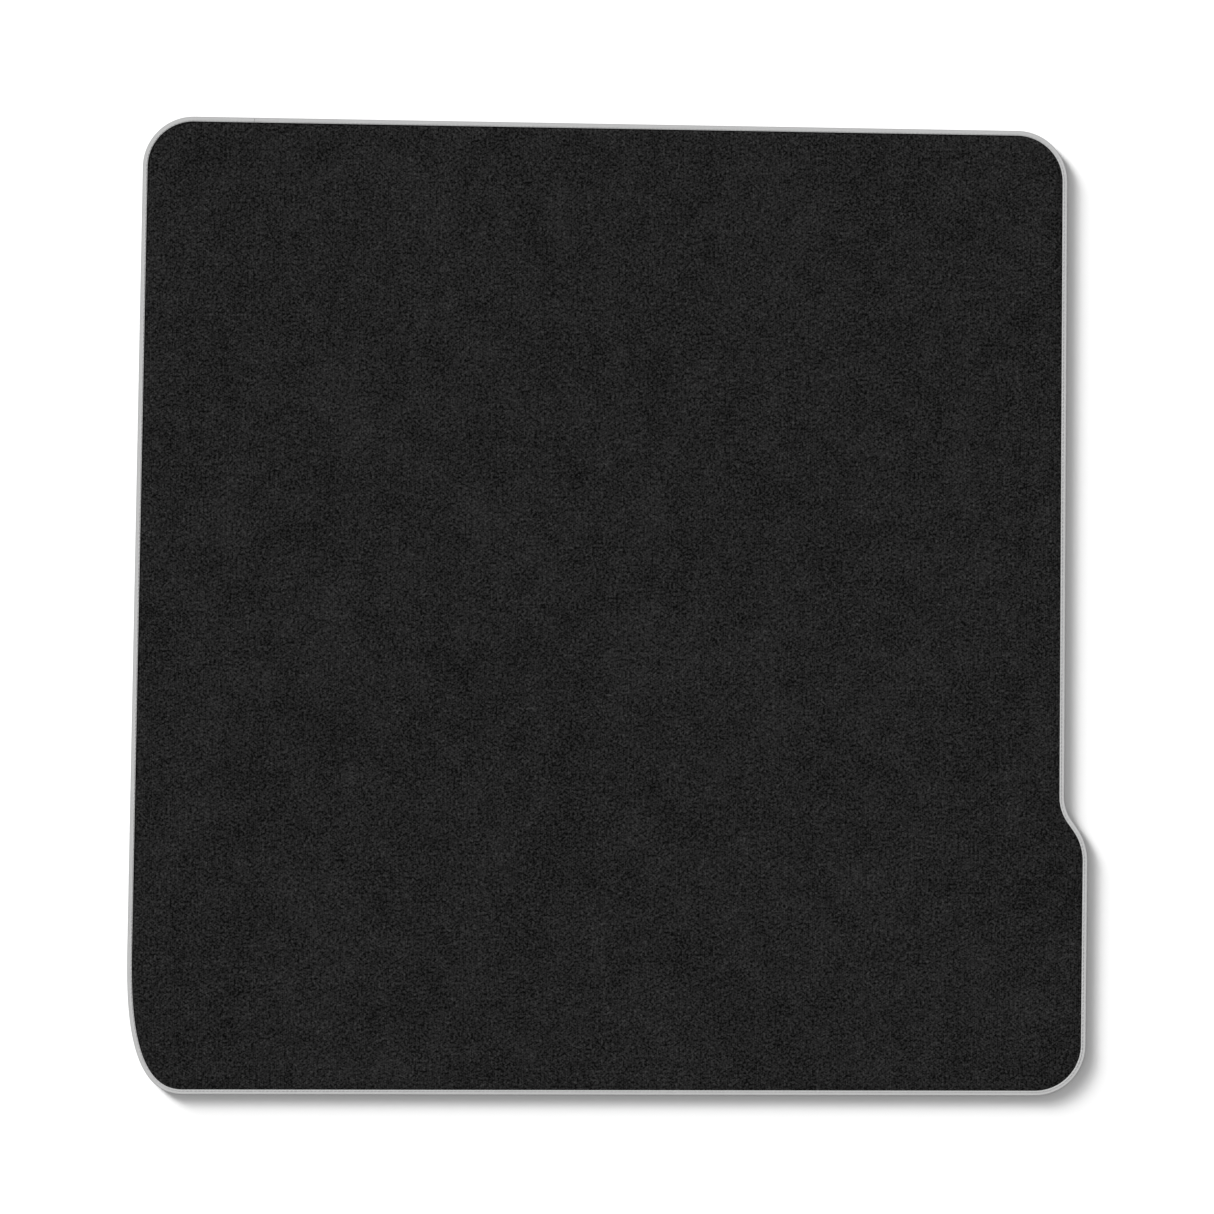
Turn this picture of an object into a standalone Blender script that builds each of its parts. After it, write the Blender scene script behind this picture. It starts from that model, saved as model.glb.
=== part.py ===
"""A fitted carpet mat with a bound edge, for the floor of a load area.

The mat is a flat stack of bonded layers, cut to one outline: pile, primary backing, latex coat and
anti-slip rubber. A folded tape binds the rim, and two threads of a lockstitch hold it, one on each face.

Metres, +Z up. The mat lies on z = 0 with the middle of its bounding box over the origin. +Y is the
front edge, -Y the rear edge, and the rear of the right side has the step outwards.
Touching pieces keep a gap of 0.3 mm. The layers stop 0.4 mm short of the tape's fold.
"""

import math

import bmesh
import bpy
from mathutils import Matrix, Vector

# Outline of the finished mat, seen from above. Each corner is where its two straight edges would meet.
FRONT_LEFT = (-0.4635, 0.4905)
REAR_LEFT = (-0.4830, -0.4880)
REAR_RIGHT = (0.4780, -0.4895)
STEP_OUTER = (0.4805, -0.2370)
STEP_INNER = (0.4570, -0.2035)
FRONT_RIGHT = (0.4605, 0.4745)

CORNER_RADIUS = 0.051
STEP_OUTER_RADIUS = 0.057
STEP_INNER_RADIUS = 0.040
CORNER_STEPS = 10
STEP_STEPS = 4

# The rear left corner is swept: it leaves the side early and turns tightly into the rear edge.
SWEEP_ALONG_SIDE = 0.1525
SWEEP_ALONG_REAR = 0.058
SWEEP_EASE = 0.35
SWEEP_STEPS = 14

# Layers, from the floor up
GAP = 0.0003
RUBBER_THICKNESS = 0.0026
LATEX_THICKNESS = 0.0004
BACKING_THICKNESS = 0.0005
PILE_HEIGHT = 0.0032
LAYER_INSET = 0.0009

# Edge binding: a tape folded round the rim, with the layers pressed thin between its two legs
TAPE_THICKNESS = 0.0005
TAPE_TOP_WIDTH = 0.00475
TAPE_UNDER_WIDTH = 0.0060
TAPE_CREASE_RADIUS = 0.00025
TAPE_CREASE_STEPS = 3
TAPE_FLOOR_CLEARANCE = 0.0009
JOIN_FROM_CORNER = 0.060
PRESSED_PILE_HEIGHT = 0.0017
PILE_SHOULDER = 0.0010

# Lockstitch
THREAD_DIAMETER = 0.0004
THREAD_SIDES = 6
STITCH_INSET = 0.0036

# Heights that follow from the layers
LATEX_BOTTOM = RUBBER_THICKNESS + GAP
BACKING_BOTTOM = LATEX_BOTTOM + LATEX_THICKNESS + GAP
PILE_BOTTOM = BACKING_BOTTOM + BACKING_THICKNESS + GAP
PILE_TOP = PILE_BOTTOM + PILE_HEIGHT
PRESSED_PILE_TOP = PILE_BOTTOM + PRESSED_PILE_HEIGHT
TAPE_BOTTOM = TAPE_FLOOR_CLEARANCE
TAPE_TOP = PRESSED_PILE_TOP + GAP + TAPE_THICKNESS
RUBBER_RIM_BOTTOM = TAPE_BOTTOM + TAPE_THICKNESS + GAP


def clear_scene():
    for obj in list(bpy.data.objects):
        bpy.data.objects.remove(obj, do_unlink=True)


def material(name, colour, roughness):
    mat = bpy.data.materials.new(name)
    mat.use_nodes = True
    shader = mat.node_tree.nodes["Principled BSDF"]
    shader.inputs["Base Color"].default_value = (*colour, 1.0)
    shader.inputs["Roughness"].default_value = roughness
    shader.inputs["Metallic"].default_value = 0.0
    return mat


def left_of(direction):
    """The direction a quarter turn to the left, which points into the mat on an anticlockwise walk."""
    return Vector((-direction.y, direction.x))


def arc_corner(before, corner, after, radius, steps):
    """Points and inward directions along the arc that rounds a corner of the anticlockwise outline."""
    arriving = (corner - before).normalized()
    leaving = (after - corner).normalized()
    turn = math.atan2(arriving.x * leaving.y - arriving.y * leaving.x, arriving.dot(leaving))
    start = corner - arriving * (radius * math.tan(abs(turn) / 2))
    centre = start + left_of(arriving) * math.copysign(radius, turn)
    points = []
    for step in range(steps + 1):
        rotation = Matrix.Rotation(turn * step / steps, 2)
        points.append((centre + rotation @ (start - centre), rotation @ left_of(arriving)))
    return points


def swept_corner(before, corner, after):
    """The same for the swept corner, along one cubic curve whose last handle is the corner itself."""
    arriving = (corner - before).normalized()
    leaving = (after - corner).normalized()
    start = corner - arriving * SWEEP_ALONG_SIDE
    handle = start.lerp(corner, SWEEP_EASE)
    end = corner + leaving * SWEEP_ALONG_REAR
    points = []
    for step in range(SWEEP_STEPS + 1):
        t = step / SWEEP_STEPS
        s = 1 - t
        place = s**3 * start + 3 * s * s * t * handle + 3 * s * t * t * corner + t**3 * end
        heading = s * s * (handle - start) + 2 * s * t * (corner - handle) + t * t * (end - corner)
        points.append((place, left_of(heading.normalized())))
    return points


def mat_outline():
    """The mat's outer edge as (point, inward direction) pairs, anticlockwise from the front left."""
    front_left, rear_left, rear_right, step_outer, step_inner, front_right = (
        Vector(corner)
        for corner in (FRONT_LEFT, REAR_LEFT, REAR_RIGHT, STEP_OUTER, STEP_INNER, FRONT_RIGHT)
    )
    outline = arc_corner(front_right, front_left, rear_left, CORNER_RADIUS, CORNER_STEPS)
    outline += swept_corner(front_left, rear_left, rear_right)
    outline += arc_corner(rear_left, rear_right, step_outer, CORNER_RADIUS, CORNER_STEPS)
    outline += arc_corner(rear_right, step_outer, step_inner, STEP_OUTER_RADIUS, STEP_STEPS)
    outline += arc_corner(step_outer, step_inner, front_right, STEP_INNER_RADIUS, STEP_STEPS)
    outline += arc_corner(step_inner, front_right, front_left, CORNER_RADIUS, CORNER_STEPS)

    across = [point.x for point, _ in outline]
    along = [point.y for point, _ in outline]
    middle = Vector((min(across) + max(across), min(along) + max(along))) / 2
    return [(point - middle, inward) for point, inward in outline]


def outline_loop(mesh, outline, inset, height):
    """A loop of vertices that follows the outline at this inset and height."""
    return [mesh.verts.new((*(point + inward * inset), height)) for point, inward in outline]


def join_loops(mesh, lower, upper, closed=True):
    """A band of faces between two loops. It faces out of the mat when the second loop is the higher one."""
    count = len(lower)
    for i in range(count if closed else count - 1):
        j = (i + 1) % count
        mesh.faces.new((lower[i], lower[j], upper[j], upper[i]))


def add_object(name, mesh, mat):
    data = bpy.data.meshes.new(name)
    mesh.to_mesh(data)
    mesh.free()
    data.materials.append(mat)
    obj = bpy.data.objects.new(name, data)
    bpy.context.scene.collection.objects.link(obj)
    return obj


def layer(name, outline, levels, mat):
    """A layer of the mat: a solid through (inset, height) levels, from its underside up to its top."""
    mesh = bmesh.new()
    loops = [outline_loop(mesh, outline, inset, height) for inset, height in levels]
    for lower, upper in zip(loops, loops[1:]):
        join_loops(mesh, lower, upper)
    mesh.faces.new(reversed(loops[0]))
    mesh.faces.new(loops[-1])
    return add_object(name, mesh, mat)


def along_rim(name, outline, profile, mat, closed=True):
    """A ring or an open strip round the rim, whose section is a loop of (inset, height) points."""
    mesh = bmesh.new()
    lines = [outline_loop(mesh, outline, inset, height) for inset, height in profile]
    for lower, upper in zip(lines, lines[1:] + lines[:1]):
        join_loops(mesh, lower, upper, closed)
    if not closed:
        mesh.faces.new([line[0] for line in lines])
        mesh.faces.new([line[-1] for line in reversed(lines)])
    obj = add_object(name, mesh, mat)
    obj.data.shade_smooth()
    obj.data.set_sharp_from_angle(angle=math.radians(40))
    return obj


def round_section(inset, height, radius, start, end, steps):
    """Points on an arc of a section. The angles are degrees: 0 points out of the mat, 90 up."""
    points = []
    for step in range(steps + 1):
        angle = math.radians(start + (end - start) * step / steps)
        points.append((inset - radius * math.cos(angle), height + radius * math.sin(angle)))
    return points


def pile_carpet(outline):
    """The cut pile, pressed thin where the tape holds it and at full height everywhere else."""
    pressed_width = TAPE_TOP_WIDTH + GAP
    levels = [
        (LAYER_INSET, PILE_BOTTOM),
        (LAYER_INSET, PRESSED_PILE_TOP),
        (pressed_width, PRESSED_PILE_TOP),
        (pressed_width + PILE_SHOULDER, PILE_TOP),
    ]
    return layer("pile_carpet", outline, levels, material("black_pile", (0.016, 0.016, 0.016), 0.95))


def primary_backing(outline):
    """The sheet that the pile yarn is tufted into."""
    levels = [(LAYER_INSET, BACKING_BOTTOM), (LAYER_INSET, BACKING_BOTTOM + BACKING_THICKNESS)]
    return layer("primary_backing", outline, levels, material("black_nonwoven", (0.03, 0.03, 0.03), 0.9))


def latex_coat(outline):
    """The film that locks the tufts and bonds the backing."""
    levels = [(LAYER_INSET, LATEX_BOTTOM), (LAYER_INSET, LATEX_BOTTOM + LATEX_THICKNESS)]
    return layer("latex_coat", outline, levels, material("grey_latex", (0.32, 0.31, 0.29), 0.6))


def rubber_backing(outline):
    """The anti-slip layer. It rests on the floor inside the rim, which stands clear for the tape."""
    rim_width = TAPE_UNDER_WIDTH + GAP
    levels = [
        (rim_width, 0.0),
        (rim_width, RUBBER_RIM_BOTTOM),
        (LAYER_INSET, RUBBER_RIM_BOTTOM),
        (LAYER_INSET, RUBBER_THICKNESS),
    ]
    return layer("rubber_backing", outline, levels, material("black_rubber", (0.018, 0.018, 0.018), 0.75))


def edge_binding(outline):
    """The tape, creased round the rim, with a leg on the pile and a wider leg on the rubber.

    It starts and ends on the front edge, where its two ends meet.
    """
    first, inward = outline[0]
    last = outline[-1][0]
    to_join = (last - first).normalized()
    start = first + to_join * (JOIN_FROM_CORNER - GAP / 2)
    end = first + to_join * (JOIN_FROM_CORNER + GAP / 2)
    strip = [(start, inward), *outline, (end, inward)]
    crease = TAPE_CREASE_RADIUS
    inside_top = TAPE_TOP - TAPE_THICKNESS
    inside_bottom = TAPE_BOTTOM + TAPE_THICKNESS
    profile = [(TAPE_UNDER_WIDTH, TAPE_BOTTOM)]
    profile += round_section(crease, TAPE_BOTTOM + crease, crease, -90, 0, TAPE_CREASE_STEPS)
    profile += round_section(crease, TAPE_TOP - crease, crease, 0, 90, TAPE_CREASE_STEPS)
    profile += [(TAPE_TOP_WIDTH, TAPE_TOP), (TAPE_TOP_WIDTH, inside_top)]
    profile += [(TAPE_THICKNESS, inside_top), (TAPE_THICKNESS, inside_bottom)]
    profile += [(TAPE_UNDER_WIDTH, inside_bottom)]
    tape = material("grey_tape", (0.49, 0.49, 0.49), 0.7)
    return along_rim("edge_binding", strip, profile, tape, closed=False)


def stitch_thread(name, outline, height, mat):
    """One thread of the lockstitch, as the plain ring that its stitches follow."""
    profile = round_section(STITCH_INSET, height, THREAD_DIAMETER / 2, 0, 360, THREAD_SIDES)[:-1]
    return along_rim(name, outline, profile, mat)


def build():
    clear_scene()
    outline = mat_outline()
    rubber_backing(outline)
    latex_coat(outline)
    primary_backing(outline)
    pile_carpet(outline)
    edge_binding(outline)
    thread = material("grey_thread", (0.5, 0.5, 0.5), 0.6)
    beside_tape = GAP + THREAD_DIAMETER / 2
    stitch_thread("needle_thread", outline, TAPE_TOP + beside_tape, thread)
    stitch_thread("bobbin_thread", outline, TAPE_BOTTOM - beside_tape, thread.copy())


build()
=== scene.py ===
"""The looks of the fitted carpet mat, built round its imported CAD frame.

The cut pile, the folded binding tape, the two threads of the lockstitch and the nibbed rubber replace the
plain CAD solids. The two layers between pile and rubber keep their CAD shape and get new materials.

Metres, +Z up, in the frame of the CAD. Places in the mat's plane are complex numbers, x + y*1j.
"""

import math

import bmesh
import bpy
import numpy as np
from mathutils.geometry import delaunay_2d_cdt
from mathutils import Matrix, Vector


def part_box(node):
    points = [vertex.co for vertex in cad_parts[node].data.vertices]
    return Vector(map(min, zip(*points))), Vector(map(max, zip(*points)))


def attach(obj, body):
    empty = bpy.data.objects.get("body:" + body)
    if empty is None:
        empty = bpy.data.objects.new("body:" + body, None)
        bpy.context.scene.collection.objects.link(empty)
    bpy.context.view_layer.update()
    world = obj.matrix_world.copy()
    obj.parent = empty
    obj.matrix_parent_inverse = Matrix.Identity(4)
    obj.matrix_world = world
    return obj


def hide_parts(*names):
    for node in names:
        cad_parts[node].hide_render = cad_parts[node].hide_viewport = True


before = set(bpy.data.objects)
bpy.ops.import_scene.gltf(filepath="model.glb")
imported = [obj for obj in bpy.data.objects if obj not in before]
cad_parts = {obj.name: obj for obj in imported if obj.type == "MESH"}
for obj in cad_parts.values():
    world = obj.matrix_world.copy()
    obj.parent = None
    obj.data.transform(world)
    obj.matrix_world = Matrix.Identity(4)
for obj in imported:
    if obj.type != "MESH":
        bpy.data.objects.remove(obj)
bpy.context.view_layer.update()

# Outline of the finished mat, as in the CAD. Each corner is where its two straight edges would meet.
FRONT_LEFT = -0.4635 + 0.4905j
REAR_LEFT = -0.4830 - 0.4880j
REAR_RIGHT = 0.4780 - 0.4895j
STEP_OUTER = 0.4805 - 0.2370j
STEP_INNER = 0.4570 - 0.2035j
FRONT_RIGHT = 0.4605 + 0.4745j
CORNER_RADIUS = 0.051
STEP_OUTER_RADIUS = 0.057
STEP_INNER_RADIUS = 0.040
SWEEP_ALONG_SIDE = 0.1525
SWEEP_ALONG_REAR = 0.058
SWEEP_EASE = 0.35
ARC_POINTS = 61
SWEEP_POINTS = 121

# The layers and the tape, as in the CAD. Heights are read from the frame.
GAP = 0.0003
LAYER_INSET = 0.0009
TAPE_THICKNESS = 0.0005
TAPE_TOP_WIDTH = 0.00475
TAPE_UNDER_WIDTH = 0.0060
TAPE_CREASE_RADIUS = 0.00025
JOIN_FROM_CORNER = 0.060
STITCH_INSET = 0.0036

PILE_BOTTOM, PILE_TOP = (corner.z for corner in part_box("pile_carpet"))
TAPE_BOTTOM, TAPE_TOP = (corner.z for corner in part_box("edge_binding"))
RUBBER_BOTTOM, RUBBER_TOP = (corner.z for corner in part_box("rubber_backing"))
PRESSED_PILE_TOP = TAPE_TOP - TAPE_THICKNESS - GAP

# Cut pile. Tufts stand on a triangular lattice, each a peak with six low points round it. A tone makes
# a point lighter or darker than the rest: painted light on the peaks and painted shade on the low points,
# plus a random spread. The two limits are in standard deviations.
TUFT_PITCH = 0.0024
TUFT_DEPTH = 0.0011
TUFT_JITTER = 0.00042
TUFT_SEED = 11
TUFT_UNEVEN = 0.00022
TUFT_UNEVEN_LIMIT = 2
TUFT_TOP_PAINTED_LIGHT = 0.35
TUFT_LOW_PAINTED_SHADE = -0.55
TUFT_TONE_SPREAD = 0.45
TUFT_TONE_LIMIT = 2.2
PILE_WAVE_SIZE = 0.045
PILE_WAVE_DEPTH = 0.00015
PILE_SHOULDER = 0.0010
PILE_EDGE_DROP = 0.0004
PILE_EDGE_WIDTH = 0.0060

# Lockstitch
STITCH_PITCH = 0.0040
RINGS_PER_STITCH = 8
THREAD_DIAMETER = 0.0004
THREAD_SIDES = 8
THREAD_TWIST = 0.0021
THREAD_PLY_DEPTH = 0.14
THREAD_DIP = 0.00045
THREAD_SLANT = 0.00010
HOLE_WIDTH = 0.00045

# Binding tape. Its outer crease gets painted shade: darker by a share that fades out over the shade's
# width.
STATIONS_PER_STITCH = 4
GROOVE_DEPTH = 0.00006
GROOVE_WIDTH = 0.0006
GATHER_DEPTH = 0.00006
GATHER_PITCH = 0.0052
TAPE_END_GAP = 0.00015
TAPE_END_BEVEL = 0.00005
TAPE_CREASE_PAINTED_SHADE_WIDTH = 0.0008
TAPE_CREASE_PAINTED_SHADE_SHARE = 0.26
TAPE_RIB_PITCH = 0.0008
TAPE_CREASE_STEPS = 3

# The insets of the points that carry the stitches' groove, on the tape's lower and upper leg
UNDER_LEG_INSETS = (0.0043, STITCH_INSET, 0.0029)
UPPER_LEG_INSETS = (0.0030, STITCH_INSET, 0.0042)

# Rubber underside with nibs that carry the mat
NIB_PITCH = 0.0120
NIB_HEIGHT = 0.0012
NIB_FOOT_RADIUS = 0.0023
NIB_TIP_RADIUS = 0.0012
NIB_SIDES = 6
NIB_CLEARANCE = 1.3

# How finely the edge is read. Places further than the margin inside its box count as well inside.
RIM_STATION_STEP = 0.0020
BEND_STEP = 0.0040
CORE_MARGIN = 0.045
WELL_INSIDE = 1.0
INSET_CHUNKS = 60

# Meshes. FILL_INSIDE asks the Delaunay call for the triangles inside its edges.
SHARP_ANGLE = math.radians(35)
FILL_INSIDE = 1
MERGE_DISTANCE = 1e-7
NOISE_HALF_WIDTH = 0.6


# ---------------------------------------------------------------- the outline


def heading(start, end):
    """The direction from one place to another."""
    return (end - start) / abs(end - start)


def arc_corner(before, corner, after, radius):
    """Places and inward directions along the arc that rounds a corner of the anticlockwise outline."""
    arriving = heading(before, corner)
    turn = np.angle(heading(corner, after) / arriving)
    start = corner - arriving * radius * math.tan(abs(turn) / 2)
    to_centre = 1j * arriving * math.copysign(radius, turn)
    spin = np.exp(1j * np.linspace(0, turn, ARC_POINTS))
    return start + to_centre * (1 - spin), 1j * arriving * spin


def swept_corner(before, corner, after):
    """The same for the swept corner, along one cubic curve whose last handle is the corner itself."""
    start = corner - heading(before, corner) * SWEEP_ALONG_SIDE
    handle = start + (corner - start) * SWEEP_EASE
    end = corner + heading(corner, after) * SWEEP_ALONG_REAR
    t = np.linspace(0, 1, SWEEP_POINTS)
    s = 1 - t
    places = s**3 * start + 3 * s * s * t * handle + 3 * s * t * t * corner + t**3 * end
    along = s * s * (handle - start) + 2 * s * t * (corner - handle) + t * t * (end - corner)
    return places, 1j * along / abs(along)


class Rim:
    """The mat's outer edge: a closed line, walked anticlockwise from the front left corner by distance."""

    def __init__(self):
        corners = [
            arc_corner(FRONT_RIGHT, FRONT_LEFT, REAR_LEFT, CORNER_RADIUS),
            swept_corner(FRONT_LEFT, REAR_LEFT, REAR_RIGHT),
            arc_corner(REAR_LEFT, REAR_RIGHT, STEP_OUTER, CORNER_RADIUS),
            arc_corner(REAR_RIGHT, STEP_OUTER, STEP_INNER, STEP_OUTER_RADIUS),
            arc_corner(STEP_OUTER, STEP_INNER, FRONT_RIGHT, STEP_INNER_RADIUS),
            arc_corner(STEP_INNER, FRONT_RIGHT, FRONT_LEFT, CORNER_RADIUS),
        ]
        places = np.concatenate([place for place, _ in corners])
        inward = np.concatenate([direction for _, direction in corners])
        low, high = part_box("edge_binding")
        middle_x = np.ptp(places.real) / 2 + places.real.min()
        middle_y = np.ptp(places.imag) / 2 + places.imag.min()
        places += complex(low.x + high.x, low.y + high.y) / 2 - complex(middle_x, middle_y)
        self.places = np.append(places, places[0])
        self.inward = np.append(inward, inward[0])
        self.distances = np.append(0, np.cumsum(abs(np.diff(self.places))))
        self.length = self.distances[-1]
        self.half_width = np.ptp(places.real) / 2
        self.half_length = np.ptp(places.imag) / 2

    def at(self, distances):
        """Places and inward directions at these distances from the start."""
        wrapped = np.mod(distances, self.length)
        inward = np.interp(wrapped, self.distances, self.inward)
        return np.interp(wrapped, self.distances, self.places), inward / abs(inward)

    def bend_at(self, distances):
        """How tightly the edge bends there: 1 over the radius, positive where the mat is convex."""
        before = self.at(distances - BEND_STEP)[1]
        after = self.at(distances + BEND_STEP)[1]
        return np.angle(after / before) / (2 * BEND_STEP)

    def insets(self, places):
        """How far inside the edge each place lies, and the inward direction there.

        A place outside gets a negative distance. One well inside gets WELL_INSIDE and no direction.
        """
        stations, inward = self.at(np.arange(0, self.length, RIM_STATION_STEP))
        found = np.full(len(places), WELL_INSIDE)
        directions = np.zeros(len(places), complex)
        near_side = abs(places.real) > self.half_width - CORE_MARGIN
        near_end = abs(places.imag) > self.half_length - CORE_MARGIN
        for chunk in np.array_split(np.flatnonzero(near_side | near_end), INSET_CHUNKS):
            across = places.real[chunk, None] - stations.real
            along = places.imag[chunk, None] - stations.imag
            nearest = (across * across + along * along).argmin(axis=1)
            directions[chunk] = inward[nearest]
            offset = places[chunk] - stations[nearest]
            found[chunk] = (offset * inward[nearest].conj()).real
        return found, directions


# ---------------------------------------------------------------- mesh helpers


def raised(places, heights):
    """Places in the plane and their heights, as an array of points."""
    return np.column_stack([places.real, places.imag, np.broadcast_to(heights, places.shape)])


def add_piece(name, points, faces, material):
    """A smooth mesh object from a point array and a list of face arrays, each of triangles or of quads."""
    corners = np.concatenate([group.ravel() for group in faces])
    sizes = np.concatenate([np.full(len(group), group.shape[1]) for group in faces])
    mesh = bpy.data.meshes.new(name)
    mesh.vertices.add(len(points))
    mesh.vertices.foreach_set("co", points.astype(np.float32).ravel())
    mesh.loops.add(len(corners))
    mesh.loops.foreach_set("vertex_index", corners.astype(np.int32))
    mesh.polygons.add(len(sizes))
    mesh.polygons.foreach_set("loop_start", (np.cumsum(sizes) - sizes).astype(np.int32))
    mesh.update(calc_edges=True)
    mesh.shade_smooth()
    mesh.materials.append(material)
    piece = bpy.data.objects.new(name, mesh)
    bpy.context.scene.collection.objects.link(piece)
    return piece


def add_attribute(piece, name, values):
    """A number or a vector for each vertex, which the piece's material reads."""
    kind = "FLOAT" if values.ndim == 1 else "FLOAT_VECTOR"
    attribute = piece.data.attributes.new(name, kind, "POINT")
    field = "value" if values.ndim == 1 else "vector"
    attribute.data.foreach_set(field, values.astype(np.float32).ravel())


def ring_faces(rows, columns, closed_rows, closed_columns):
    """Quads of a grid of points stored row by row. A closed direction joins its last line to its first."""
    row = np.arange(rows if closed_rows else rows - 1)[:, None]
    column = np.arange(columns if closed_columns else columns - 1)[None, :]
    next_row = (row + 1) % rows
    next_column = (column + 1) % columns
    corners = (
        row * columns + column,
        next_row * columns + column,
        next_row * columns + next_column,
        row * columns + next_column,
    )
    return np.stack([np.broadcast_to(c, (row.size, column.size)) for c in corners], axis=-1).reshape(-1, 4)


def triangles_inside(places, edges):
    """Triangles that fill closed loops of edges and use every place. They face up."""
    points = [(place.real, place.imag) for place in places]
    pairs = [tuple(map(int, edge)) for edge in edges]
    made = delaunay_2d_cdt(points, pairs, [], FILL_INSIDE, MERGE_DISTANCE)
    source = np.array([indices[0] for indices in made[3]])
    return source[np.array(made[2])]


def loop_edges(start, count):
    """Edges of one closed loop of points that follow each other."""
    first = np.arange(count)
    return np.column_stack([first, (first + 1) % count]) + start


def lattice(pitch, half_width, half_length):
    """A triangular lattice over a box: its places, its triangles, and which places are one in three.

    The marked places are the centres of hexagons that share their corners with each other.
    """
    height = pitch * math.sqrt(3) / 2
    rows = int(2 * half_length / height) + 3
    columns = int(2 * half_width / pitch) + 3
    row, column = np.mgrid[0:rows, 0:columns]
    across = pitch * (column + 0.5 * (row % 2)) - half_width - pitch
    along = height * row - half_length - height
    marked = (column - row // 2 - row) % 3 == 0
    here = (row * columns + column)[:-1, :-1]
    even = (row % 2 == 0)[:-1, :-1]
    right, above, both = here + 1, here + columns, here + columns + 1
    first = np.stack([here, right, np.where(even, above, both)], axis=-1)
    second = np.stack([np.where(even, right, here), both, above], axis=-1)
    triangles = np.concatenate([first.reshape(-1, 3), second.reshape(-1, 3)])
    return (across + 1j * along).ravel(), triangles, marked.ravel()


def smooth_noise(places, size, generator):
    """Random numbers from -1 to 1 that change softly over this size."""
    cells = int(2 * NOISE_HALF_WIDTH / size) + 4
    values = generator.uniform(-1, 1, (cells, cells))
    across = (places.real + NOISE_HALF_WIDTH) / size
    along = (places.imag + NOISE_HALF_WIDTH) / size
    column, row = across.astype(int), along.astype(int)
    u, v = across - column, along - row
    u, v = u * u * (3 - 2 * u), v * v * (3 - 2 * v)
    low = values[row, column] * (1 - u) + values[row, column + 1] * u
    high = values[row + 1, column] * (1 - u) + values[row + 1, column + 1] * u
    return low * (1 - v) + high * v


def ease(value):
    """A smooth step from 0 to 1."""
    value = np.clip(value, 0, 1)
    return value * value * (3 - 2 * value)


def open_edges(triangles, count):
    """Edges that only one triangle has, in that triangle's direction."""
    edges = triangles[:, [0, 1, 1, 2, 2, 0]].reshape(-1, 2)
    keys = edges[:, 0] * count + edges[:, 1]
    reverse = edges[:, 1] * count + edges[:, 0]
    return edges[~np.isin(keys, reverse)]


# ---------------------------------------------------------------- the pieces


def pile_carpet(rim):
    """The cut pile: tufts on a lattice, closed by a wall and a bottom, and pressed thin under the tape."""
    generator = np.random.default_rng(TUFT_SEED)
    pitch = TUFT_PITCH / math.sqrt(3)
    places, triangles, tops = lattice(pitch, rim.half_width, rim.half_length)
    shift = TUFT_JITTER * np.sqrt(generator.random(len(places)))
    places += shift * np.exp(2j * math.pi * generator.random(len(places)))
    inset, inward = rim.insets(places)
    triangles = triangles[(inset[triangles] > LAYER_INSET).all(axis=1)]
    used, triangles = np.unique(triangles, return_inverse=True)
    triangles = triangles.reshape(-1, 3)
    places, tops, inset, inward = places[used], tops[used], inset[used], inward[used]

    uneven = TUFT_UNEVEN * generator.normal(size=len(places)).clip(-TUFT_UNEVEN_LIMIT, TUFT_UNEVEN_LIMIT)
    heights = PILE_TOP - np.where(tops, abs(uneven), TUFT_DEPTH + uneven)
    heights -= PILE_WAVE_DEPTH * (1 + smooth_noise(places, PILE_WAVE_SIZE, generator))
    beside_tape = TAPE_TOP_WIDTH + GAP
    heights -= PILE_EDGE_DROP * (1 - ease((inset - beside_tape) / PILE_EDGE_WIDTH))
    rise = ease((inset - beside_tape) / PILE_SHOULDER)
    heights = PRESSED_PILE_TOP + (heights - PRESSED_PILE_TOP) * rise

    # Only a band along the edge is searched, and the open edges on its inner side don't count.
    near = (inset[triangles] < 4 * pitch).any(axis=1)
    edges = open_edges(triangles[near], len(places))
    edges = edges[(inset[edges] < 3 * pitch).all(axis=1)]
    border = np.unique(edges)
    places[border] -= inward[border] * (inset[border] - LAYER_INSET)
    lower = np.full(len(places), -1)
    lower[border] = len(places) + np.arange(len(border))
    wall = np.column_stack([edges[:, 0], lower[edges[:, 0]], lower[edges[:, 1]], edges[:, 1]])
    bottom = triangles_inside(places[border], lower[edges] - len(places))[:, ::-1] + len(places)
    points = np.vstack([raised(places, heights), raised(places[border], PILE_BOTTOM)])

    # Peaks get painted light and low points painted shade in their colour, with a random spread on top.
    chance = generator.normal(size=len(places)).clip(-TUFT_TONE_LIMIT, TUFT_TONE_LIMIT)
    tone_and_painted_light = np.where(tops, TUFT_TOP_PAINTED_LIGHT, TUFT_LOW_PAINTED_SHADE) + TUFT_TONE_SPREAD * chance
    piece = add_piece("cut_pile", points, [triangles, wall, bottom], pile_material())
    add_attribute(piece, "tuft_tone_and_painted_light", np.append(tone_and_painted_light, np.zeros(len(border))))
    return piece


def crease_arc(height, start, end):
    """(inset, height) points on a crease of the tape, between two angles in degrees.

    0 points out of the mat and 90 up.
    """
    angles = np.radians(np.linspace(start, end, TAPE_CREASE_STEPS + 1))
    inset = TAPE_CREASE_RADIUS * (1 - np.cos(angles))
    return np.column_stack([inset, height + TAPE_CREASE_RADIUS * np.sin(angles)])


def leg(height, *insets):
    """(inset, height) points of the tape's section that lie at one height."""
    return np.array([(inset, height) for inset in insets])


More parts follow.
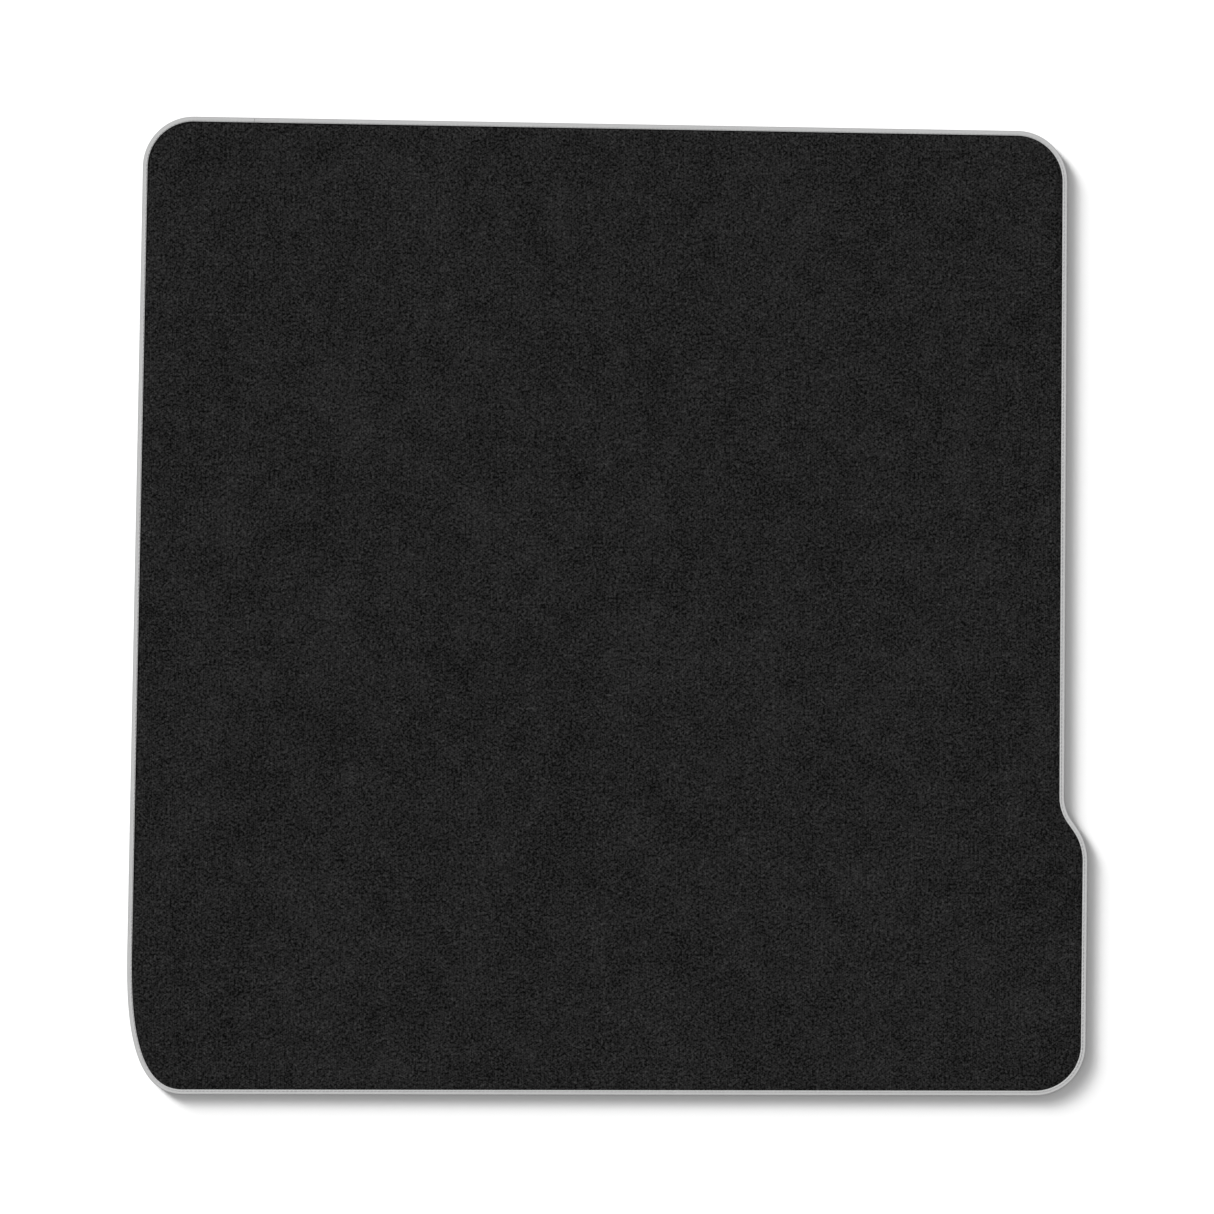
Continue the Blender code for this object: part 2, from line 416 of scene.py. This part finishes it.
def tape_profile():
    """The tape's closed section as (inset, height) points: its outer face, then back along its inner."""
    inside_top = TAPE_TOP - TAPE_THICKNESS
    inside_bottom = TAPE_BOTTOM + TAPE_THICKNESS
    return np.vstack([
        leg(TAPE_BOTTOM, TAPE_UNDER_WIDTH, *UNDER_LEG_INSETS, 2 * TAPE_CREASE_RADIUS),
        crease_arc(TAPE_BOTTOM + TAPE_CREASE_RADIUS, -90, 0),
        crease_arc(TAPE_TOP - TAPE_CREASE_RADIUS, 0, 90),
        leg(TAPE_TOP, 2 * TAPE_CREASE_RADIUS, TAPE_CREASE_RADIUS + TAPE_CREASE_PAINTED_SHADE_WIDTH),
        leg(TAPE_TOP, *UPPER_LEG_INSETS),
        leg(TAPE_TOP, TAPE_TOP_WIDTH - TAPE_END_BEVEL),
        leg(TAPE_TOP - TAPE_END_BEVEL, TAPE_TOP_WIDTH),
        leg(inside_top, TAPE_TOP_WIDTH, STITCH_INSET, TAPE_THICKNESS),
        leg(inside_bottom, TAPE_THICKNESS, STITCH_INSET, TAPE_UNDER_WIDTH),
    ])


def stitches(rim):
    """The number of stitches round the mat and the exact length of one."""
    count = round(rim.length / STITCH_PITCH)
    return count, rim.length / count


def edge_binding(rim):
    """The binding tape: one strip folded round the rim, drawn in at each stitch and gathered at corners."""
    count, pitch = stitches(rim)
    stations = count * STATIONS_PER_STITCH
    join = rim.length - JOIN_FROM_CORNER
    along = join + np.linspace(TAPE_END_GAP, rim.length - TAPE_END_GAP, stations)
    places, inward = rim.at(along)
    profile = tape_profile()
    inset, height = profile[:, 0], profile[:, 1]
    steps = np.linalg.norm(np.diff(profile, axis=0, prepend=profile[:1]), axis=1)
    across = np.cumsum(steps)

    at_hole = 0.5 + 0.5 * np.cos(2 * math.pi * along / pitch)
    near_line = np.exp(-(((inset - STITCH_INSET) / GROOVE_WIDTH) ** 2))
    on_leg = inset > TAPE_CREASE_RADIUS
    draw = GROOVE_DEPTH * near_line * on_leg * (0.5 + at_hole[:, None])
    convex = np.clip(rim.bend_at(along) * CORNER_RADIUS, 0, 1)
    gather = convex * GATHER_DEPTH * np.sin(2 * math.pi * along / GATHER_PITCH)
    lift = gather[:, None] * ease((inset - TAPE_CREASE_RADIUS) / (TAPE_TOP_WIDTH - TAPE_CREASE_RADIUS))
    upper = height > (TAPE_TOP + TAPE_BOTTOM) / 2
    heights = height + np.where(upper, lift - draw, draw - lift)

    spread = places[:, None] + inward[:, None] * inset
    points = raised(spread.ravel(), heights.ravel())
    faces = [ring_faces(stations, len(profile), False, True)]
    piece = add_piece("binding_tape", points, faces, tape_material())
    close_ends(piece, stations, len(profile))
    piece.data.set_sharp_from_angle(angle=SHARP_ANGLE)
    # Painted shade on the outer crease, fading out inward; it rides in the third part of the attribute.
    crease_painted_shade = 1 - ease((inset - TAPE_CREASE_RADIUS) / TAPE_CREASE_PAINTED_SHADE_WIDTH)
    weave_and_painted_shade = np.stack(np.broadcast_arrays(along[:, None] - join, across, crease_painted_shade), axis=-1)
    add_attribute(piece, "weave_and_painted_shade", weave_and_painted_shade.reshape(-1, 3))
    return piece


def close_ends(piece, rows, columns):
    """Fills the first and the last row of a strip with a face each."""
    mesh = bmesh.new()
    mesh.from_mesh(piece.data)
    mesh.verts.ensure_lookup_table()
    first = [mesh.verts[i] for i in range(columns)]
    last = [mesh.verts[(rows - 1) * columns + i] for i in range(columns)]
    mesh.faces.new(first)
    mesh.faces.new(reversed(last))
    mesh.to_mesh(piece.data)
    mesh.free()


def stitch_thread(name, rim, rest_height, side):
    """One thread of the lockstitch. side is 1 on the pile's face and -1 on the underside."""
    count, pitch = stitches(rim)
    rings = count * RINGS_PER_STITCH
    along = np.arange(rings) * rim.length / rings
    phase = along / pitch - np.round(along / pitch)
    in_hole = np.exp(-((phase * pitch / HOLE_WIDTH) ** 2))
    places, inward = rim.at(along)
    inset = STITCH_INSET + THREAD_SLANT * 2 * phase
    height = rest_height - side * THREAD_DIP * in_hole

    angles = side * (np.arange(THREAD_SIDES) / THREAD_SIDES * 2 * math.pi - math.pi / 2)
    turned = 2 * math.pi * along[:, None] / (2 * THREAD_TWIST)
    plies = 1 + THREAD_PLY_DEPTH * np.cos(2 * (angles - turned))
    radius = THREAD_DIAMETER / 2 * plies
    spread = places[:, None] + inward[:, None] * (inset[:, None] - radius * np.cos(angles))
    heights = height[:, None] + radius * np.sin(angles)
    points = raised(spread.ravel(), heights.ravel())
    faces = ring_faces(rings, THREAD_SIDES, True, True)
    if side < 0:
        faces = faces[:, ::-1]
    piece = add_piece(name, points, [faces], thread_material())
    turn = np.broadcast_to(np.arange(THREAD_SIDES) / THREAD_SIDES, (rings, THREAD_SIDES))
    lay = np.stack(np.broadcast_arrays(along[:, None], turn, 0.0), axis=-1)
    add_attribute(piece, "lay", lay.reshape(-1, 3))
    return piece


def rubber_backing(rim):
    """The rubber: a sheet whose underside stands on small six-sided nibs, with a thin rim over the tape."""
    centres, _, _ = lattice(NIB_PITCH, rim.half_width, rim.half_length)
    inset, _ = rim.insets(centres)
    field_inset = TAPE_UNDER_WIDTH + GAP
    centres = centres[inset > field_inset + NIB_CLEARANCE * NIB_FOOT_RADIUS]
    corners = np.exp(2j * math.pi / NIB_SIDES * np.arange(NIB_SIDES))
    feet = (centres[:, None] + NIB_FOOT_RADIUS * corners).ravel()
    tips = (centres[:, None] + NIB_TIP_RADIUS * corners).ravel()

    stations, _ = stitches(rim)
    places, inward = rim.at(np.arange(stations) * rim.length / stations)
    field_edge = places + inward * field_inset
    layer_edge = places + inward * LAYER_INSET
    nib = np.arange(len(centres))[:, None] * NIB_SIDES
    side = np.arange(NIB_SIDES)
    foot_edges = np.stack([nib + side, nib + (side + 1) % NIB_SIDES], axis=-1).reshape(-1, 2)
    loops = np.vstack([foot_edges, loop_edges(len(feet), stations)])
    field = triangles_inside(np.append(feet, field_edge), loops)
    # A triangle with all its corners on one nib's foot is left out, because the nib stands there.
    owner = np.where(field < len(feet), field // NIB_SIDES, -1 - np.arange(3))
    field = field[~((owner[:, 0] == owner[:, 1]) & (owner[:, 1] == owner[:, 2]))]

    sheet_bottom = RUBBER_BOTTOM + NIB_HEIGHT
    rim_bottom = TAPE_BOTTOM + TAPE_THICKNESS + GAP
    points = np.vstack([
        raised(feet, sheet_bottom),
        raised(field_edge, sheet_bottom),
        raised(field_edge, rim_bottom),
        raised(layer_edge, rim_bottom),
        raised(layer_edge, RUBBER_TOP),
        raised(tips, RUBBER_BOTTOM),
    ])
    edge_start = len(feet)
    tip_start = edge_start + 4 * stations
    bands = ring_faces(4, stations, False, True)[:, ::-1] + edge_start
    top = triangles_inside(layer_edge, loop_edges(0, stations)) + edge_start + 3 * stations
    foot, next_foot = foot_edges[:, 0], foot_edges[:, 1]
    flanks = np.column_stack([foot, foot + tip_start, next_foot + tip_start, next_foot])[:, ::-1]
    tip = nib + tip_start
    fan = [(0, corner + 1, corner) for corner in range(NIB_SIDES - 2, 0, -1)]
    caps = np.vstack([tip + np.array(order) for order in fan])
    faces = [field[:, ::-1], bands, top, flanks, caps]
    piece = add_piece("nibbed_rubber", points, faces, rubber_material())
    piece.data.set_sharp_from_angle(angle=SHARP_ANGLE)
    return piece


# ---------------------------------------------------------------- materials


class Look:
    """A procedural material: one Principled shader, and short ways to put nodes in front of it."""

    def __init__(self, name, roughness, specular, sheen=0.0):
        self.material = bpy.data.materials.new(name)
        self.material.use_nodes = True
        self.tree = self.material.node_tree
        self.shader = self.tree.nodes["Principled BSDF"]
        self.shader.inputs["Roughness"].default_value = roughness
        self.shader.inputs["Specular IOR Level"].default_value = specular
        self.shader.inputs["Sheen Weight"].default_value = sheen
        self.shader.inputs["Sheen Roughness"].default_value = 0.5

    def put(self, socket, value):
        """Links an output to a socket, or sets the socket to a plain value."""
        if isinstance(value, bpy.types.NodeSocket):
            self.tree.links.new(value, socket)
        else:
            socket.default_value = value

    def object_place(self):
        return self.tree.nodes.new("ShaderNodeTexCoord").outputs["Object"]

    def attribute(self, name, output="Vector"):
        node = self.tree.nodes.new("ShaderNodeAttribute")
        node.attribute_name = name
        return node.outputs[output]

    def noise(self, place, size, detail=2.0, roughness=0.5):
        """Soft noise from 0 to 1 whose patches are this size."""
        node = self.tree.nodes.new("ShaderNodeTexNoise")
        self.put(node.inputs["Vector"], place)
        self.put(node.inputs["Scale"], 1 / size)
        self.put(node.inputs["Detail"], detail)
        self.put(node.inputs["Roughness"], roughness)
        return node.outputs["Fac"]

    def math(self, operation, *values):
        node = self.tree.nodes.new("ShaderNodeMath")
        node.operation = operation
        for socket, value in zip(node.inputs, values):
            self.put(socket, value)
        return node.outputs[0]

    def ripple(self, length, wave):
        """A sine along a length in metres, from -1 to 1."""
        return self.math("SINE", self.math("MULTIPLY", length, 2 * math.pi / wave))

    def part(self, vector, axis):
        node = self.tree.nodes.new("ShaderNodeSeparateXYZ")
        self.put(node.inputs[0], vector)
        return node.outputs[axis]

    def varied(self, *changes):
        """1 plus each change, where a change is (output from -1 to 1 or so, amount)."""
        total = 1.0
        for output, amount in changes:
            total = self.math("MULTIPLY_ADD", output, amount, total)
        return total

    def centred(self, output):
        """Noise from 0 to 1 as about -1 to 1."""
        return self.math("MULTIPLY_ADD", output, 4.0, -2.0)

    def colour(self, colour, strength):
        """A colour times a strength, as the base colour."""
        node = self.tree.nodes.new("ShaderNodeVectorMath")
        node.operation = "SCALE"
        node.inputs[0].default_value = colour
        self.put(node.inputs["Scale"], strength)
        self.put(self.shader.inputs["Base Color"], node.outputs[0])

    def roughness(self, middle, output, amount):
        self.put(self.shader.inputs["Roughness"], self.math("MULTIPLY_ADD", output, amount, middle))

    def bump(self, height, depth):
        node = self.tree.nodes.new("ShaderNodeBump")
        node.inputs["Distance"].default_value = depth
        self.put(node.inputs["Height"], height)
        self.put(self.shader.inputs["Normal"], node.outputs[0])


def pile_material():
    look = Look("black_cut_pile", roughness=0.9, specular=0.06, sheen=0.02)
    place = look.object_place()
    fibre = look.centred(look.noise(place, 0.0007, detail=1.0))
    speck = look.centred(look.noise(place, 0.0022, detail=1.0))
    # The tuft tone is painted light on the peaks and painted shade on the low points, plus a random spread.
    tuft_tone_and_light = look.attribute("tuft_tone_and_painted_light", "Fac")
    wear = look.centred(look.noise(place, 0.030, detail=4.0, roughness=0.7))
    patches = look.centred(look.noise(place, 0.110, detail=3.0, roughness=0.6))
    clumps = look.centred(look.noise(place, 0.005))
    fine = look.varied((tuft_tone_and_light, 0.62), (speck, 1.06), (fibre, 0.17))
    broad = look.varied((clumps, 0.19), (wear, 0.29), (patches, 0.155))
    strength = look.math("ADD", fine, look.math("SUBTRACT", broad, 1.0))
    look.colour((0.0156, 0.0155, 0.0155), look.math("MAXIMUM", strength, 0.05))
    look.roughness(0.9, fibre, 0.05)
    look.bump(fibre, 0.0001)
    return look.material


def tape_material():
    look = Look("light_grey_tape", roughness=0.75, specular=0.25, sheen=0.05)
    weave_and_painted_shade = look.attribute("weave_and_painted_shade")
    along = look.part(weave_and_painted_shade, 0)
    across = look.part(weave_and_painted_shade, 1)
    rib = look.math("MULTIPLY", look.ripple(along, TAPE_RIB_PITCH), look.ripple(across, TAPE_RIB_PITCH))
    # The third part of the attribute is painted shade on the outer crease, which darkens the base colour.
    crease_painted_shade = look.part(weave_and_painted_shade, 2)
    shade = look.centred(look.noise(look.object_place(), 0.012))
    strength = look.varied((rib, 0.05), (shade, 0.015), (crease_painted_shade, -TAPE_CREASE_PAINTED_SHADE_SHARE))
    look.colour((0.434, 0.434, 0.434), strength)
    look.roughness(0.75, rib, 0.06)
    look.bump(rib, 0.00004)
    return look.material


def thread_material():
    look = Look("light_grey_thread", roughness=0.6, specular=0.3, sheen=0.05)
    lay = look.attribute("lay")
    along = look.math("MULTIPLY", look.part(lay, 0), 2 / THREAD_TWIST)
    twist = look.math("ADD", along, look.part(lay, 1))
    strand = look.ripple(twist, 1.0)
    shade = look.centred(look.noise(look.object_place(), 0.009))
    look.colour((0.450, 0.450, 0.450), look.varied((strand, 0.06), (shade, 0.02)))
    look.roughness(0.6, strand, 0.06)
    look.bump(strand, 0.00003)
    return look.material


def rubber_material():
    look = Look("black_rubber", roughness=0.7, specular=0.4)
    place = look.object_place()
    pebble = look.centred(look.noise(place, 0.0009, detail=1.0))
    bloom = look.centred(look.noise(place, 0.035, detail=3.0, roughness=0.6))
    look.colour((0.018, 0.018, 0.018), look.varied((pebble, 0.05), (bloom, 0.15)))
    look.roughness(0.7, bloom, 0.08)
    look.bump(pebble, 0.00006)
    return look.material


def backing_material():
    look = Look("black_nonwoven", roughness=0.9, specular=0.2, sheen=0.03)
    place = look.object_place()
    fibres = look.centred(look.noise(place, 0.0012, detail=4.0, roughness=0.7))
    cloud = look.centred(look.noise(place, 0.010))
    look.colour((0.030, 0.030, 0.031), look.varied((fibres, 0.25), (cloud, 0.12)))
    look.roughness(0.9, fibres, 0.05)
    look.bump(fibres, 0.0001)
    return look.material


def latex_material():
    look = Look("grey_latex", roughness=0.6, specular=0.4)
    place = look.object_place()
    streak = look.centred(look.noise(place, 0.018, detail=3.0, roughness=0.6))
    grit = look.centred(look.noise(place, 0.0015))
    look.colour((0.32, 0.31, 0.29), look.varied((streak, 0.08), (grit, 0.03)))
    look.roughness(0.6, streak, 0.10)
    look.bump(grit, 0.00005)
    return look.material


# ---------------------------------------------------------------- studio

# The lens and the sensor are in millimetres, and angles in degrees. A sun is (elevation, share of white).
FLOOR_ALBEDO = 0.90
FLOOR_HALF_SIZE = 15.0
CAMERA_LENS = 300
CAMERA_SENSOR = 36
VIEW_WIDTH = 1.214
VIEW_CENTRE = (-0.0003, -0.0009)
LIGHT_FROM = 136
SUN_SPREAD = 20
SUNS = ((14, 0.385), (23, 0.222), (34, 0.104))
FILL = 0.390


def add_camera():
    """Straight above the mat, as far away as a long lens needs to see the whole width."""
    data = bpy.data.cameras.new("camera")
    data.lens = CAMERA_LENS
    data.sensor_width = CAMERA_SENSOR
    distance = VIEW_WIDTH * CAMERA_LENS / CAMERA_SENSOR
    data.clip_end = 2 * distance
    camera = bpy.data.objects.new("camera", data)
    camera.location = (*VIEW_CENTRE, TAPE_TOP + distance)
    bpy.context.scene.collection.objects.link(camera)
    bpy.context.scene.camera = camera


def add_floor():
    look = Look("white_floor", roughness=1.0, specular=0.0)
    speck = look.centred(look.noise(look.object_place(), 0.05))
    look.colour((FLOOR_ALBEDO,) * 3, look.varied((speck, 0.002)))
    size = FLOOR_HALF_SIZE
    corners = np.array([-size - 1j * size, size - 1j * size, size + 1j * size, -size + 1j * size])
    floor = add_piece("floor", raised(corners, 0.0), [np.array([[0, 1, 2, 3]])], look.material)


def add_lights():
    """Three wide suns from one side, low to high, and an even fill from all round.

    Each share is the light that the floor sends back from it, where 1 is white.
    """
    for elevation, share in SUNS:
        data = bpy.data.lights.new(f"sun_{elevation}", "SUN")
        data.angle = math.radians(SUN_SPREAD)
        data.energy = share * math.pi / (FLOOR_ALBEDO * math.sin(math.radians(elevation)))
        sun = bpy.data.objects.new(f"sun_{elevation}", data)
        sun.rotation_euler = (0, math.radians(90 - elevation), math.radians(LIGHT_FROM))
        bpy.context.scene.collection.objects.link(sun)

    world = bpy.data.worlds.new("studio")
    world.use_nodes = True
    nodes, links = world.node_tree.nodes, world.node_tree.links
    background = nodes["Background"]
    seen = nodes.new("ShaderNodeBackground")
    seen.inputs["Color"].default_value = (1, 1, 1, 1)
    seen.inputs["Strength"].default_value = 1.0
    background.inputs["Color"].default_value = (1, 1, 1, 1)
    background.inputs["Strength"].default_value = FILL / FLOOR_ALBEDO
    path = nodes.new("ShaderNodeLightPath")
    mix = nodes.new("ShaderNodeMixShader")
    links.new(path.outputs["Is Camera Ray"], mix.inputs[0])
    links.new(background.outputs[0], mix.inputs[1])
    links.new(seen.outputs[0], mix.inputs[2])
    links.new(mix.outputs[0], nodes["World Output"].inputs["Surface"])
    bpy.context.scene.world = world
    bpy.context.scene.view_settings.view_transform = "Standard"


# ---------------------------------------------------------------- the object


def area_inside(rim, inset):
    """The area inside the line at this inset."""
    places, inward = rim.at(np.arange(0, rim.length, RIM_STATION_STEP))
    line = places + inward * inset
    return abs((line.conj() * np.roll(line, -1)).imag.sum()) / 2


def finish_piece(piece, node):
    """Puts a new piece on the mat's body, in place of its CAD node."""
    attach(piece, "root")
    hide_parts(node)


def build():
    add_camera()
    add_floor()
    add_lights()
    rim = Rim()
    cut_area = area_inside(rim, LAYER_INSET)

    pile = pile_carpet(rim)
    finish_piece(pile, "pile_carpet")

    tape = edge_binding(rim)
    finish_piece(tape, "edge_binding")

    thread_height = THREAD_DIAMETER / 2 - GROOVE_DEPTH
    needle = stitch_thread("needle_stitches", rim, TAPE_TOP + thread_height, side=1)
    finish_piece(needle, "needle_thread")
    bobbin = stitch_thread("bobbin_stitches", rim, TAPE_BOTTOM - thread_height, side=-1)
    finish_piece(bobbin, "bobbin_thread")

    rubber = rubber_backing(rim)
    finish_piece(rubber, "rubber_backing")

    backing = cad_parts["primary_backing"]
    backing.material_slots[0].material = backing_material()
    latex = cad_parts["latex_coat"]
    latex.material_slots[0].material = latex_material()


build()
